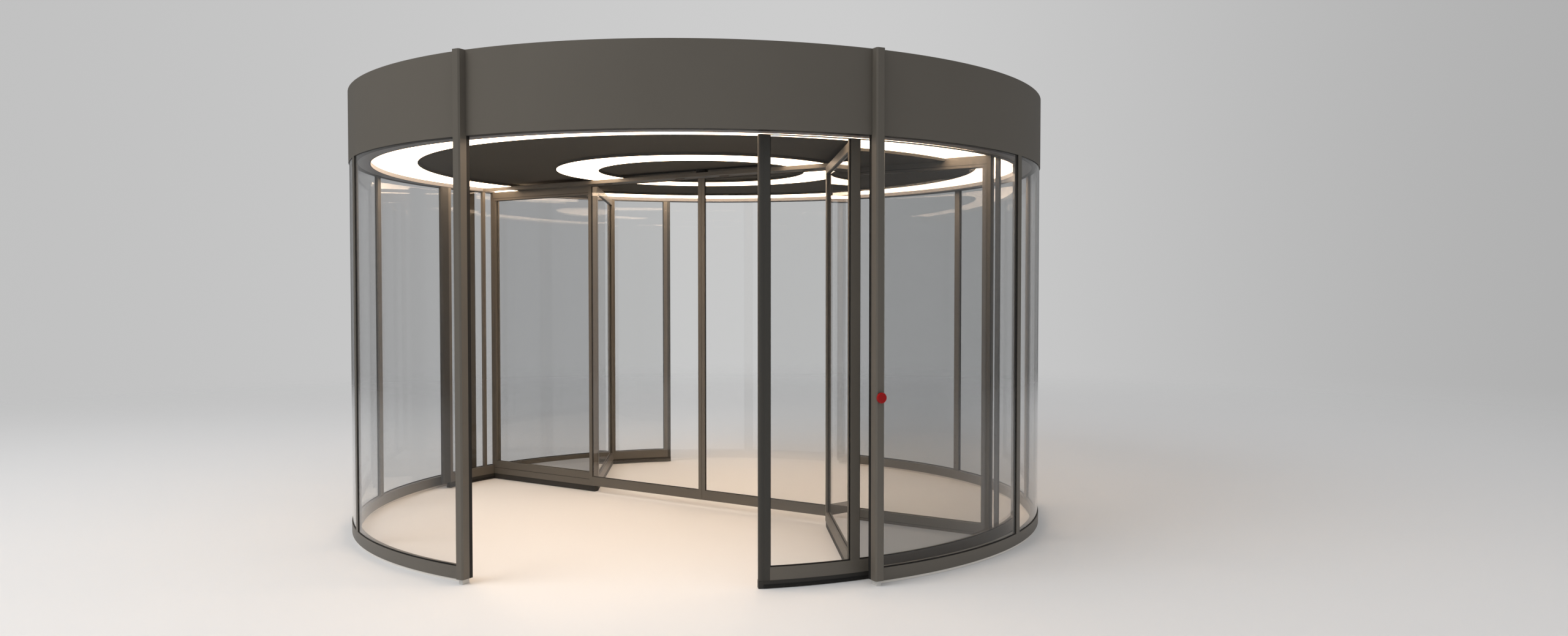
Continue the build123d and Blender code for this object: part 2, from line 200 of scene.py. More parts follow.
@dataclass(frozen=True)
class CoatedSurface:
    """A painted, coated or moulded surface with a fine grain and a slight drift of tone."""

    name: str
    colour: Colour
    roughness: float
    metallic: float = 0.0
    specular: float = 0.5
    grain_scale: float = 900.0
    grain_depth: float = 0.06 * MM
    grain_strength: float = 0.6
    drift_scale: float = 1.2
    tone_drift: float = 0.05
    roughness_drift: float = 0.08
    foot_height: float = 0.0
    # painted light: the pale colour below the foot height, standing in for lit floor seen in a gap
    # under the part
    painted_gap_colour: Colour = (0.6, 0.59, 0.57)

    def fill(self, sheet: NodeSheet, output: bpy.types.Node) -> None:
        """Builds the coat; below its foot height the coat is painted pale, a painted light that
        stands in for lit floor seen in a gap under the part.

        Args:
            sheet: The material's nodes.
            output: The material's output node.
        """
        place = sheet.add("ShaderNodeTexCoord").outputs["Object"]
        grain = sheet.add(
            "ShaderNodeGroup",
            {"Vector": place, "Grain Scale": self.grain_scale, "Drift Scale": self.drift_scale},
            node_tree=surface_grain_group(),
        )
        drift = sheet.math("MULTIPLY", grain.outputs["Drift"], 0.5)
        share = sheet.math("ADD", drift, 0.5, clamp=True)
        darker = tuple(c * (1 - self.tone_drift) for c in self.colour)
        lighter = tuple(min(1.0, c * (1 + self.tone_drift)) for c in self.colour)
        colour = sheet.blend(share, rgba(darker), rgba(lighter))
        # painted light: the foot is coloured like lit floor, as if light showed through a gap under
        # the part
        if self.foot_height > 0:
            height = sheet.add("ShaderNodeSeparateXYZ", {0: place}).outputs["Z"]
            foot = sheet.math("LESS_THAN", height, self.foot_height)
            colour = sheet.blend(foot, colour, rgba(self.painted_gap_colour))
        rough = sheet.math("MULTIPLY", grain.outputs["Drift"], self.roughness_drift)
        rough = sheet.math("ADD", rough, self.roughness, clamp=True)
        bump = sheet.add(
            "ShaderNodeBump",
            {
                "Height": grain.outputs["Height"],
                "Strength": self.grain_strength,
                "Distance": self.grain_depth,
            },
        )
        shader = sheet.add(
            "ShaderNodeBsdfPrincipled",
            {
                "Base Color": colour,
                "Roughness": rough,
                "Metallic": self.metallic,
                "Specular IOR Level": self.specular,
                "Normal": bump.outputs["Normal"],
            },
        )
        sheet.tree.links.new(shader.outputs[0], output.inputs["Surface"])


@dataclass(frozen=True)
class LitDiffuser:
    """An opal diffuser lit from behind, faintly uneven over the lamps."""

    name: str
    glow: Colour
    strength: float
    opal: Colour = (0.82, 0.8, 0.76)
    roughness: float = 0.5
    haze_scale: float = 3.0
    unevenness: float = 0.06
    housing: Colour | None = None
    lit_normal: float = -0.5  # in a housing, only faces whose normal points lower are lit

    def fill(self, sheet: NodeSheet, output: bpy.types.Node) -> None:
        """Builds the diffuser, with unlit sides where it has a housing.

        Args:
            sheet: The material's nodes.
            output: The material's output node.
        """
        place = sheet.add("ShaderNodeTexCoord").outputs["Object"]
        haze = sheet.add(
            "ShaderNodeTexNoise", {"Vector": place, "Scale": self.haze_scale, "Detail": 1.0}
        )
        dim = tuple(c * (1 - self.unevenness) for c in self.glow)
        glow = sheet.blend(haze.outputs["Fac"], rgba(dim), rgba(self.glow))
        body = rgba(self.opal)
        if self.housing:
            normal = sheet.add("ShaderNodeTexCoord").outputs["Normal"]
            upward = sheet.add("ShaderNodeSeparateXYZ", {"Vector": normal}).outputs["Z"]
            lit = sheet.math("LESS_THAN", upward, self.lit_normal)
            body = sheet.blend(lit, rgba(self.housing), body)
            glow = sheet.blend(lit, rgba(BLACK), glow)
        shader = sheet.add(
            "ShaderNodeBsdfPrincipled",
            {
                "Base Color": body,
                "Roughness": self.roughness,
                "Emission Color": glow,
                "Emission Strength": self.strength,
            },
        )
        sheet.tree.links.new(shader.outputs[0], output.inputs["Surface"])


@dataclass(frozen=True)
class FloatGlass:
    """Tinted float glass that lets lamps shine through."""

    name: str
    tint: Colour
    ior: float = 1.5
    wave_scale: float = 1.6
    wave_depth: float = 0.25 * MM
    wave_strength: float = 0.5

    def fill(self, sheet: NodeSheet, output: bpy.types.Node) -> None:
        """Builds the glass.

        Args:
            sheet: The material's nodes.
            output: The material's output node.
        """
        place = sheet.add("ShaderNodeTexCoord").outputs["Object"]
        wave = sheet.add(
            "ShaderNodeTexNoise", {"Vector": place, "Scale": self.wave_scale, "Detail": 0.0}
        )
        bump = sheet.add(
            "ShaderNodeBump",
            {
                "Height": wave.outputs["Fac"],
                "Strength": self.wave_strength,
                "Distance": self.wave_depth,
            },
        )
        pane = sheet.add(
            "ShaderNodeBsdfPrincipled",
            {
                "Base Color": rgba(self.tint),
                "Roughness": 0.0,
                "IOR": self.ior,
                "Transmission Weight": 1.0,
                "Normal": bump.outputs["Normal"],
            },
        )
        one_face = tuple(math.sqrt(c) for c in self.tint)
        clear = sheet.add("ShaderNodeBsdfTransparent", {"Color": rgba(one_face)})
        path = sheet.add("ShaderNodeLightPath")
        mixed = sheet.add(
            "ShaderNodeMixShader",
            {0: path.outputs["Is Shadow Ray"], 1: pane.outputs[0], 2: clear.outputs[0]},
        )
        sheet.tree.links.new(mixed.outputs[0], output.inputs["Surface"])


@dataclass(frozen=True)
class StudioFloor:
    """A pale floor that fades out far from the door."""

    name: str
    colour: Colour
    fade_start: float
    fade_end: float
    roughness: float = 0.55
    specular: float = 0.25

    def fill(self, sheet: NodeSheet, output: bpy.types.Node) -> None:
        """Builds the floor.

        Args:
            sheet: The material's nodes.
            output: The material's output node.
        """
        place = sheet.add("ShaderNodeTexCoord").outputs["Object"]
        reach = sheet.add("ShaderNodeVectorMath", {0: place}, operation="LENGTH").outputs["Value"]
        fade = sheet.add(
            "ShaderNodeMapRange",
            {
                "Value": reach,
                "From Min": self.fade_start,
                "From Max": self.fade_end,
                "To Min": 1.0,
                "To Max": 0.0,
            },
            interpolation_type="SMOOTHERSTEP",
        )
        shader = sheet.add(
            "ShaderNodeBsdfPrincipled",
            {
                "Base Color": rgba(self.colour),
                "Roughness": self.roughness,
                "Specular IOR Level": self.specular,
                "Alpha": fade.outputs["Result"],
            },
        )
        sheet.tree.links.new(shader.outputs[0], output.inputs["Surface"])


class Finishes(Enum):
    """The door's finishes, named for the parts that wear them."""

    FRAME = CoatedSurface("umber_powder_coat", UMBER, 0.45, metallic=0.1)
    # the rail's lowest 15 mm is painted cream: painted light standing in for lit floor seen in a
    # gap under the rail
    RAIL = CoatedSurface(
        "umber_rail_coat",
        UMBER,
        0.45,
        metallic=0.1,
        foot_height=15 * MM,
        painted_gap_colour=(0.88, 0.84, 0.79),
    )
    # the post's 28 mm foot is painted pale grey: painted light standing in for floor seen in a gap
    # under the post
    POST = CoatedSurface("umber_post_coat", UMBER, 0.45, metallic=0.1, foot_height=28 * MM)
    # painted light: the rim's underside gets a lighter, bluish grey than the frame, standing in for
    # sky light and sheen on it
    SOFFIT = CoatedSurface("soffit_sky_lit_grey_coat", (0.15, 0.15, 0.158), 0.5)
    SKIRT = CoatedSurface("dark_skirt_coat", (0.038, 0.036, 0.033), 0.6, specular=0.25)
    CEILING = CoatedSurface(
        "dark_ceiling_paint", CEILING_TONE, 0.85, specular=0.04, tone_drift=0.08
    )
    ROOF = CoatedSurface(
        "grey_roof_sheet", (0.07, 0.068, 0.064), 0.55, specular=0.3, tone_drift=0.12
    )
    LAMP = LitDiffuser("opal_light_diffuser", LAMP_GLOW, LAMP_STRENGTH)
    LAMP_RING = LitDiffuser(
        "housed_light_diffuser", LAMP_GLOW, LAMP_STRENGTH, housing=CEILING_TONE
    )
    GLASS = FloatGlass("grey_float_glass", (0.83, 0.834, 0.836), ior=1.3)
    CLEAR_GLASS = FloatGlass("clear_leaf_glass", (0.97, 0.972, 0.968))
    NOSING = CoatedSurface("dark_grey_nosing", (0.048, 0.046, 0.041), 0.6, specular=0.25)
    RUBBER = CoatedSurface(
        "black_rubber", (0.012, 0.012, 0.012), 0.6, specular=0.3, grain_scale=500.0, tone_drift=0.15
    )
    SIGNAL = CoatedSurface(
        "signal_red_plastic", (0.3, 0.002, 0.003), 0.35, specular=0.25, grain_depth=0.02 * MM
    )
    STEEL = CoatedSurface("turned_steel", (0.5, 0.5, 0.49), 0.3, metallic=1.0)
    LAMINATE = CoatedSurface(
        "grey_floor_laminate", (0.4, 0.438, 0.485), 0.6, grain_scale=260.0, tone_drift=0.08
    )


SLOT_FINISH = {
    "frame_metal": Finishes.FRAME,
    "ceiling_metal": Finishes.CEILING,
    "light_diffuser": Finishes.LAMP,
    "clear_glass": Finishes.GLASS,
    "rubber_seal": Finishes.RUBBER,
    "signal_red": Finishes.SIGNAL,
    "bearing_steel": Finishes.STEEL,
    "floor_laminate": Finishes.LAMINATE,
}
NODE_FINISH = {
    "left_base_rail": Finishes.RAIL,
    "right_base_rail": Finishes.RAIL,
    "front_left_post": Finishes.POST,
    "front_right_post": Finishes.POST,
    "rear_left_post": Finishes.POST,
    "rear_right_post": Finishes.POST,
    "ceiling_rim": Finishes.SOFFIT,
    "outer_light_ring": Finishes.LAMP_RING,
    "inner_light_ring": Finishes.LAMP_RING,
    "drive_shaft": Finishes.SKIRT,
    "canopy_roof": Finishes.ROOF,
    "front_skirt": Finishes.SKIRT,
    "rear_skirt": Finishes.SKIRT,
    "front_wall_nosings": Finishes.NOSING,
    "rear_wall_nosings": Finishes.NOSING,
    "front_leaf_glass": Finishes.CLEAR_GLASS,
    "rear_leaf_glass": Finishes.CLEAR_GLASS,
}


# ---------------------------------------------------------------- reading the frame


@dataclass(frozen=True)
class Axes:
    """A level frame of reference turned about the drum's axis."""

    turn: float

    def local(self, point: Vector) -> Vector:
        """A point's place along, across and above this frame."""
        return Matrix.Rotation(-self.turn, 3, "Z") @ point

    def world(self, along: float, across: float, height: float) -> Vector:
        """The point at a place in this frame."""
        return Matrix.Rotation(self.turn, 3, "Z") @ Vector((along, across, height))


@dataclass(frozen=True)
class Extent:
    """The lowest and highest value of three coordinates."""

    low: Vector
    high: Vector

    @classmethod
    def around(cls, points: list[Vector]) -> "Extent":
        """The extent of some points.

        Args:
            points: The points.

        Returns:
            Their extent.
        """
        low = Vector(min(p[axis] for p in points) for axis in range(3))
        high = Vector(max(p[axis] for p in points) for axis in range(3))
        return cls(low, high)


@dataclass(frozen=True)
class Span:
    """The angles about the drum's axis, the radii and the heights that some points cover."""

    start: float
    end: float
    inner: float
    outer: float
    low: float
    high: float

    @classmethod
    def around(cls, points: list[Vector], heading: float | None = None) -> "Span":
        """The span of some points that lie within half a turn of a heading.

        Args:
            points: The points.
            heading: The heading in radians, or else the direction of the points' middle.

        Returns:
            Their span.
        """
        if heading is None:
            middle = sum(points, Vector())
            heading = math.atan2(middle.y, middle.x)
        placed = [Axes(heading).local(p) for p in points]
        angles = [heading + math.atan2(p.y, p.x) for p in placed]
        radii = [p.xy.length for p in placed]
        heights = [p.z for p in placed]
        return cls(min(angles), max(angles), min(radii), max(radii), min(heights), max(heights))


def solids_of(node: str) -> Iterator[list[Vector]]:
    """The corner points of each separate solid of a CAD node.

    Args:
        node: The node's name.

    Yields:
        One list of points for each solid.
    """
    shape = bmesh.new()
    shape.from_mesh(frame["nodes"][node].data)
    bmesh.ops.remove_doubles(shape, verts=shape.verts, dist=MERGE_DISTANCE)
    waiting = dict.fromkeys(shape.verts)  # keeps its order, so every run gives the same
    while waiting:
        front = [waiting.popitem()[0]]
        points = []
        while front:
            corner = front.pop()
            points.append(corner.co.copy())
            for edge in corner.link_edges:
                other = edge.other_vert(corner)
                if other in waiting:
                    del waiting[other]
                    front.append(other)
        yield points
    shape.free()


def points_of(node: str) -> list[Vector]:
    """All corner points of a CAD node."""
    return [point for solid in solids_of(node) for point in solid]


def extent_of(node: str, axes: Axes) -> Extent:
    """The extent of a CAD node along, across and above some axes."""
    return Extent.around([axes.local(p) for p in points_of(node)])


def radii_of(node: str) -> tuple[float, float]:
    """The smallest and largest distance of a CAD node's points from the drum's axis."""
    reach = [p.xy.length for p in points_of(node)]
    return min(reach), max(reach)


# ---------------------------------------------------------------- making pieces


def new_tree(
    name: str, sizes: tuple[str, ...], counts: tuple[str, ...] = ()
) -> tuple[NodeSheet, bpy.types.NodeOutputs, bpy.types.NodeSocket]:
    """Starts a geometry tree that follows paths and has named settings and a material.

    Args:
        name: The tree's name.
        sizes: The names of its measures.
        counts: The names of its whole numbers.

    Returns:
        The tree's sheet, its settings and its paths as a curve.
    """
    tree = bpy.data.node_groups.new(name, "GeometryNodeTree")
    kinds = {"Geometry": "NodeSocketGeometry"}
    kinds |= dict.fromkeys(sizes, "NodeSocketFloat")
    kinds |= dict.fromkeys(counts, "NodeSocketInt")
    kinds["Material"] = "NodeSocketMaterial"
    for label, kind in kinds.items():
        tree.interface.new_socket(label, in_out="INPUT", socket_type=kind)
    tree.interface.new_socket("Geometry", in_out="OUTPUT", socket_type="NodeSocketGeometry")
    sheet = NodeSheet(tree)
    settings = sheet.add("NodeGroupInput").outputs
    path = sheet.add("GeometryNodeMeshToCurve", {"Mesh": settings["Geometry"]})
    return sheet, settings, path.outputs[0]


def end_tree(
    sheet: NodeSheet, settings: bpy.types.NodeOutputs, shape: bpy.types.NodeSocket
) -> bpy.types.NodeTree:
    """Ends a geometry tree with real geometry in the chosen material.

    Args:
        sheet: The tree's sheet.
        settings: Its settings.
        shape: The geometry to put out.

    Returns:
        The finished tree.
    """
    real = sheet.add("GeometryNodeRealizeInstances", {0: shape}).outputs[0]
    inputs = {"Geometry": real, "Material": settings["Material"]}
    painted = sheet.add("GeometryNodeSetMaterial", inputs).outputs[0]
    sheet.add("NodeGroupOutput", {0: painted})
    return sheet.tree


def sweep(
    sheet: NodeSheet, path: bpy.types.NodeSocket, section: bpy.types.Node
) -> bpy.types.NodeSocket:
    """Sweeps a section along a curve and closes its ends.

    Args:
        sheet: The tree's sheet.
        path: The curve.
        section: The node that makes the section.

    Returns:
        The swept geometry.
    """
    inputs = {"Curve": path, "Profile Curve": section.outputs[0], "Fill Caps": True}
    return sheet.add("GeometryNodeCurveToMesh", inputs).outputs[0]


def round_bead_tree() -> bpy.types.NodeTree:
    """A round bead swept along the paths.

    Returns:
        A tree with the settings Radius, Sides and Material.
    """
    name = "round_bead"
    if name in bpy.data.node_groups:
        return bpy.data.node_groups[name]
    sheet, settings, path = new_tree(name, ("Radius",), ("Sides",))
    section = sheet.add(
        "GeometryNodeCurvePrimitiveCircle",
        {"Resolution": settings["Sides"], "Radius": settings["Radius"]},
    )
    return end_tree(sheet, settings, sweep(sheet, path, section))


def flat_strip_tree() -> bpy.types.NodeTree:
    """A flat strip that follows level paths and stays upright on them.

    Returns:
        A tree with the settings Depth, across the path, Height and Material.
    """
    name = "flat_strip"
    if name in bpy.data.node_groups:
        return bpy.data.node_groups[name]
    sheet, settings, path = new_tree(name, ("Depth", "Height"))
    upright = sheet.add("GeometryNodeSetCurveNormal", {"Curve": path}, mode="Z_UP")
    section = sheet.add(
        "GeometryNodeCurvePrimitiveQuadrilateral",
        {"Width": settings["Depth"], "Height": settings["Height"]},
        mode="RECTANGLE",
    )
    return end_tree(sheet, settings, sweep(sheet, upright.outputs[0], section))


def standing_row_tree() -> bpy.types.NodeTree:
    """Small cones that stand at even steps along the paths, each with its own lean.

    Returns:
        A tree with the settings Spacing, Top Radius, Bottom Radius, Height, Lean, Sides, Seed
        and Material.
    """
    name = "standing_row"
    if name in bpy.data.node_groups:
        return bpy.data.node_groups[name]
    sizes = ("Spacing", "Top Radius", "Bottom Radius", "Height", "Lean")
    sheet, settings, path = new_tree(name, sizes, ("Sides", "Seed"))
    sites = sheet.add(
        "GeometryNodeCurveToPoints", {"Curve": path, "Length": settings["Spacing"]}, mode="LENGTH"
    )
    cone = sheet.add(
        "GeometryNodeMeshCone",
        {
            "Vertices": settings["Sides"],
            "Radius Top": settings["Top Radius"],
            "Radius Bottom": settings["Bottom Radius"],
            "Depth": settings["Height"],
        },
    )
    lean = sheet.add(
        "FunctionNodeRandomValue",
        {
            "Min": sheet.math("MULTIPLY", settings["Lean"], -1.0),
            "Max": settings["Lean"],
            "Seed": settings["Seed"],
        },
        data_type="FLOAT_VECTOR",
    )
    stood = sheet.add(
        "GeometryNodeInstanceOnPoints",
        {"Points": sites.outputs[0], "Instance": cone.outputs["Mesh"], "Rotation": lean.outputs[0]},
    )
    return end_tree(sheet, settings, stood.outputs[0])


@dataclass
class Paths:
    """Lines in space that a geometry tree turns into a piece."""

    lines: list[tuple[list[Vector], bool]]

    def add(self, points: list[Vector], closed: bool = False) -> None:
        """Adds one line.

        Args:
            points: Its points in order.
            closed: Whether its end joins its start.
        """
        self.lines.append((points, closed))

    def mesh(self, name: str) -> bpy.types.Mesh:
        """The lines as a mesh of loose edges.

        Args:
            name: The mesh's name.

        Returns:
            The mesh.
        """
        points: list[Vector] = []
        edges: list[tuple[int, int]] = []
        for line, closed in self.lines:
            first = len(points)
            points += line
            edges += [(i, i + 1) for i in range(first, len(points) - 1)]
            if closed:
                edges.append((len(points) - 1, first))
        mesh = bpy.data.meshes.new(name)
        mesh.from_pydata(points, edges, [])
        return mesh


def arc(radius: float, start: float, end: float, height: float) -> list[Vector]:
    """Points along a level arc about the drum's axis.

    Args:
        radius: The arc's radius.
        start: Its first angle in radians.
        end: Its last angle.
        height: Its height.

    Returns:
        The points.
    """
    steps = max(2, round(abs(end - start) / ARC_STEP))
    turns = (start + (end - start) * i / steps for i in range(steps + 1))
    return [Vector((radius * math.cos(t), radius * math.sin(t), height)) for t in turns]


def full_circle(radius: float, height: float) -> list[Vector]:
    """Points round a whole level circle, with the first not repeated."""
    return arc(radius, 0.0, 2 * math.pi, height)[:-1]


@dataclass(frozen=True)
class Fitting:
    """How a detail is made and where it belongs."""

    body: str
    slot: str
    smooth: bool = True
    finish: Finishes | None = None

    def material(self) -> bpy.types.Material:
        """The chosen finish's material, or the slot's own."""
        return material_of((self.finish or SLOT_FINISH[self.slot]).value)

    def settle(self, piece: bpy.types.Object) -> bpy.types.Object:
        """Puts a finished piece on its body.

        Args:
            piece: The piece.

        Returns:
            The same piece.
        """
        for face in piece.data.polygons:
            face.use_smooth = self.smooth
        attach(piece, self.body)
        log.info("%s rides %s, %d faces", piece.name, self.body, len(piece.data.polygons))
        return piece

    def grow(
        self, name: str, paths: Paths, tree: bpy.types.NodeTree, **settings: object
    ) -> bpy.types.Object:
        """Runs a geometry tree over some paths and keeps the result as a plain mesh.

        Args:
            name: The piece's name.
            paths: The lines that it follows.
            tree: The geometry tree.
            **settings: The tree's settings by name.

        Returns:
            The piece.
        """
        piece = bpy.data.objects.new(name, paths.mesh(name))
        bpy.context.scene.collection.objects.link(piece)
        modifier = piece.modifiers.new("make", "NODES")
        modifier.node_group = tree
        chosen = {**settings, "Material": self.material()}
        for item in tree.interface.items_tree:
            if item.item_type == "SOCKET" and item.in_out == "INPUT" and item.name in chosen:
                modifier[item.identifier] = chosen[item.name]
        ready = piece.evaluated_get(bpy.context.evaluated_depsgraph_get())
        made = bpy.data.meshes.new_from_object(ready)
        piece.modifiers.remove(modifier)
        made.name = name
        piece.data = made
        return self.settle(piece)

    def cast(self, name: str, shape: bmesh.types.BMesh) -> bpy.types.Object:
        """Turns a finished bmesh into a piece.

        Args:
            name: The piece's name.
            shape: Its shape, which is freed.

        Returns:
            The piece.
        """
        bmesh.ops.recalc_face_normals(shape, faces=shape.faces)
        mesh = bpy.data.meshes.new(name)
        shape.to_mesh(mesh)
        shape.free()
        mesh.materials.append(self.material())
        piece = bpy.data.objects.new(name, mesh)
        bpy.context.scene.collection.objects.link(piece)
        return self.settle(piece)


def rounded_block(
    shape: bmesh.types.BMesh, centre: Vector, turn: float, size: Vector, round_off: float
) -> None:
    """Adds a block with rounded edges.

    Args:
        shape: The bmesh that gets it.
        centre: Its middle.
        turn: Its turn about the upright, in radians.
        size: Its size before the turn.
        round_off: The radius of its edges.
    """
    place = Matrix.Translation(centre) @ Matrix.Rotation(turn, 4, "Z") @ Matrix.Diagonal((*size, 1))
    made = bmesh.ops.create_cube(shape, size=1.0, matrix=place)
    edges = list(dict.fromkeys(edge for corner in made["verts"] for edge in corner.link_edges))
    bmesh.ops.bevel(
        shape, geom=edges, offset=round_off, segments=ROUNDING_STEPS, affect="EDGES"
    )


# ---------------------------------------------------------------- the door


@dataclass
class CadDress:
    """Dresses every CAD node in the finish of its material slot."""

    slots: dict[str, str]

    def build(self) -> None:
        """Puts the finishes on the nodes."""
        for node, slot in self.slots.items():
            piece = frame["nodes"][node]
            material = material_of(NODE_FINISH.get(node, SLOT_FINISH[slot]).value)
            for place in piece.material_slots:
                place.material = material
            log.info("%s wears %s", node, material.name)


@dataclass
class GlazingBeads:
    """The beads round both faces of every pane: coated on the fixed panels, else black."""

    bodies: dict[str, str]
    radius: float = 2.6 * MM
    sides: int = 6

    def curved(self, paths: Paths, corners: list[Vector]) -> None:
        """Adds the lines up the sides and along the foot of a pane curved about the axis.

        Args:
            paths: The paths that get them.
            corners: The pane's corner points.
        """
        span = Span.around(corners)
        low, high = span.low + self.radius, span.high - self.radius
        for radius in (span.inner, span.outer):
            inset = self.radius / radius
            foot = arc(radius, span.start + inset, span.end - inset, low)
            rise = Vector((0, 0, high - low))
            paths.add([foot[0] + rise, *foot, foot[-1] + rise])

    def flat(self, paths: Paths, corners: list[Vector]) -> None:
        """Adds the lines round a flat upright pane.

        Args:
            paths: The paths that get them.
            corners: The pane's corner points.
        """
        middle = sum(corners, Vector()) / len(corners)
        spread = [p - middle for p in corners]
        # the direction in which the corners lie farthest apart is half that of their moments
        across = 2 * sum(p.x * p.y for p in spread)
        along = sum(p.x**2 - p.y**2 for p in spread)
        axes = Axes(math.atan2(across, along) / 2)
        extent = Extent.around([axes.local(p) for p in corners])
        start, end = extent.low.x + self.radius, extent.high.x - self.radius
        low, high = extent.low.z + self.radius, extent.high.z - self.radius
        for side in (extent.low.y, extent.high.y):
            ring = ((start, low), (end, low), (end, high), (start, high))
            paths.add([axes.world(x, side, z) for x, z in ring], closed=True)

    def build(self) -> None:
        """Builds one piece of beads for each glass node."""
        for node, body in self.bodies.items():
            if not node.endswith("_glass"):
                continue
            paths = Paths([])
            trace = self.curved if "wall" in node or "curved" in node else self.flat
            for corners in solids_of(node):
                trace(paths, corners)
            name = node.replace("glass", "beads")
            settings = {"Radius": self.radius, "Sides": self.sides}
            slot = "frame_metal" if "panel" in node else "rubber_seal"
            Fitting(body, slot).grow(name, paths, round_bead_tree(), **settings)


@dataclass
class MullionGasketShades:
    """Black strips on the inner face of the drum's panes beside the mullions: partly a glazing
    gasket, partly painted shade for the mullions' shaded side faces seen through the glass.
    """

    width: float = 12 * MM
    thickness: float = 1.2 * MM

    def build(self) -> None:
        """Builds the strips of both side walls."""
        for side in ("left", "right"):
            shape = bmesh.new()
            for corners in solids_of(f"{side}_wall_glass"):
                span = Span.around(corners)
                half = self.width / 2 / span.inner
                for angle in (span.start + half, span.end - half):
                    reach = span.inner - self.thickness / 2
                    place = Axes(angle).world(reach, 0.0, (span.low + span.high) / 2)
                    size = Vector((self.thickness, self.width, span.high - span.low))
                    rounded_block(shape, place, angle, size, self.thickness * STRIP_ROUNDING)
            Fitting("drum", "rubber_seal", smooth=False).cast(f"{side}_mullion_gasket_shades", shape)


@dataclass
class SoffitShadeBands:
    """Painted shade under the canopy: a black band along the canopy's outer edge for the shade
    under the fascia's lip, and a thin black band inside the soffit for the shaded side of the rim's
    drop beside the light ring.
    """

    thickness: float = 1.0 * MM
    edge_gap: float = 3.0 * MM
    edge_shade_width: float = 54 * MM
    inner_shade_width: float = 7 * MM

    def build(self) -> None:
        """Builds both rings."""
        inner, _ = radii_of("ceiling_rim")
        _, outer = radii_of("canopy_fascia")
        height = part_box("canopy_fascia")[0][2] - self.thickness / 2
        # each band is a thin black ring of painted shade
        rings = {
            "soffit_edge_shade": (outer - self.edge_gap - self.edge_shade_width / 2, self.edge_shade_width),
            "soffit_inner_shade": (inner + self.inner_shade_width / 2, self.inner_shade_width),
        }
        for name, (radius, width) in rings.items():
            paths = Paths([])
            paths.add(full_circle(radius, height), closed=True)
            settings = {"Depth": width, "Height": self.thickness}
            fitting = Fitting("drum", "rubber_seal", smooth=False)
            fitting.grow(name, paths, flat_strip_tree(), **settings)


@dataclass
class PanelTrims:
    """The dark seams on both faces of the rotor's fixed panels."""

    turns: dict[str, float]
    relief: float = 0.6 * MM
    seam_height: float = 2.5 * MM
    header_seam: float = 17 * MM
    sill_seam: float = 54 * MM
    end_gap: float = 1.0 * MM

    def build(self) -> None:
        """Builds the seams of both panels."""
        fitting = Fitting("rotor", "rubber_seal", smooth=False)
        settings = {"Depth": self.relief * 2, "Height": self.seam_height}
        for half, turn in self.turns.items():
            axes = Axes(turn)
            panel = extent_of(f"{half}_panel_frame", axes)
            pane = extent_of(f"{half}_panel_glass", axes)
            ends = (panel.low.x + self.end_gap, panel.high.x - self.end_gap)
            paths = Paths([])
            for height in (pane.high.z + self.header_seam, pane.low.z - self.sill_seam):
                for across in (panel.low.y, panel.high.y):
                    paths.add([axes.world(along, across, height) for along in ends])
            fitting.grow(f"{half}_panel_seams", paths, flat_strip_tree(), **settings)


@dataclass
class EndCovers:
    """The dark covers on the outer face of the end stiles at the free ends of the walls."""

    turns: dict[str, float]
    width: float = 33 * MM
    thickness: float = 1.2 * MM

    def build(self) -> None:
        """Builds both covers."""
        for half, turn in self.turns.items():
            _, outer = radii_of(f"{half}_curved_frame")
            nosings = [Span.around(solid, turn) for solid in solids_of(f"{half}_wall_nosings")]
            free = min(nosings, key=lambda span: span.end)
            angle = free.end + self.width / 2 / outer
            place = Axes(angle).world(outer, 0.0, (free.low + free.high) / 2)
            size = Vector((self.thickness, self.width, free.high - free.low))
            shape = bmesh.new()
            rounded_block(shape, place, angle, size, self.thickness * STRIP_ROUNDING)
            fitting = Fitting("rotor", "rubber_seal", smooth=False, finish=Finishes.NOSING)
            fitting.cast(f"{half}_end_cover", shape)


@dataclass
class FloorBrushes:
    """The black brushes along the foot of the rotor's curved walls."""

    turns: dict[str, float]
    inset: float = 2.4 * MM
    spacing: float = 3.0 * MM
    thickness: float = 2.4 * MM
    tip_share: float = 0.6  # of the thickness that is left at a bristle's upper end
    sides: int = 4
    length: float = 15 * MM
    floor_gap: float = 1.0 * MM
    lean: float = math.radians(7.0)
    holder_depth: float = 3.6 * MM
    holder_height: float = 5 * MM

    def build(self) -> None:
        """Builds the brush and its holder on both curved walls."""
        brush = Fitting("rotor", "rubber_seal", smooth=False, finish=Finishes.SKIRT)
        holder = Fitting("rotor", "rubber_seal", smooth=False)
        bristles = {
            "Spacing": self.spacing,
            "Top Radius": self.thickness / 2 * self.tip_share,
            "Bottom Radius": self.thickness / 2,
            "Height": self.length,
            "Lean": self.lean,
            "Sides": self.sides,
        }
        section = {"Depth": self.holder_depth, "Height": self.holder_height}
        holder_middle = self.floor_gap + self.length + self.holder_height / 2
        for seed, (half, turn) in enumerate(self.turns.items()):
            span = Span.around(points_of(f"{half}_curved_frame"), turn)
            feet, rails = Paths([]), Paths([])
            for radius in (span.inner + self.inset, span.outer - self.inset):
                feet.add(arc(radius, span.start, span.end, self.floor_gap))
                rails.add(arc(radius, span.start, span.end, holder_middle))
            tree = standing_row_tree()
            brush.grow(f"{half}_floor_brush", feet, tree, **bristles, Seed=seed)
            holder.grow(f"{half}_brush_holder", rails, flat_strip_tree(), **section)


